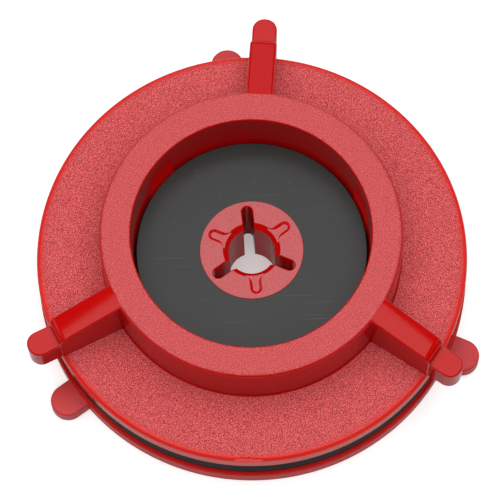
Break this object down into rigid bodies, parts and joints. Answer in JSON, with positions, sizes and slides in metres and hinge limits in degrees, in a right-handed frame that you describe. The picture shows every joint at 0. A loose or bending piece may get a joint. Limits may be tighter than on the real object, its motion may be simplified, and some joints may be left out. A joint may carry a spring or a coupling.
{
  "type": "tape reel hub adapter",
  "caption": "Round lugged hub adapter that centres a large open tape reel on a small splined spindle and grips the reel's bore with a rubber ring when its locking ring is turned.",
  "frame": {"origin": "centre of the spindle bore at the adapter's underside, the face that sits on the deck's reel table", "axes": "+Z along the spindle bore, away from the deck; +Y within 5 degrees of the first lower lug"},
  "size_m": [0.0786, 0.0814, 0.0228],
  "materials": {
    "red_moulding": "fine spark-eroded grain on the flat faces, smooth glossy ribs, lugs and rounded edges",
    "red_locking_ring": "fine spark-eroded grain on the flat faces, smooth glossy ribs, lugs and rounded edges",
    "red_hub": "fine grain on the face, smooth chamfers and bore",
    "black_cover": "satin, faintly scuffed",
    "black_rubber": "smooth moulded rubber, slightly dusty",
    "cam_plastic": "satin moulded",
    "grey_plastic": "satin moulded",
    "white_slip": "waxy",
    "zinc_steel": "bright zinc plated",
    "spring_steel": "drawn wire",
    "brass": "turned"
  },
  "bodies": {
    "base": {"base_plate": "red_moulding", "spindle_hub": "red_hub", "cam_plate": "cam_plastic", "cover_disc": "black_cover", "clamp_screws": "zinc_steel", "threaded_inserts": "brass", "rubber_ring": "black_rubber", "return_spring_1": "spring_steel", "return_spring_2": "spring_steel", "return_spring_3": "spring_steel"},
    "press": {"pressure_ring": "grey_plastic", "slip_washer": "white_slip"},
    "lock": {"locking_ring": "red_locking_ring"}
  },
  "joints": [
    {"name": "squeeze", "type": "slide", "parent": "base", "child": "press", "axis": [0, 0, -1], "range_m": [0, 0.0008], "stiffness_N_per_m": 400, "springref_m": -0.0008, "deforming": ["rubber_ring", "return_spring_1", "return_spring_2", "return_spring_3"]},
    {"name": "lock_turn", "type": "hinge", "parent": "press", "child": "lock", "pos_m": [0, 0, 0], "axis": [0, 0, -1], "range_deg": [0, 50]}
  ],
  "couplings": [
    {"joint": "squeeze", "follows": "lock_turn", "m_per_rad": 0.000916}
  ]
}
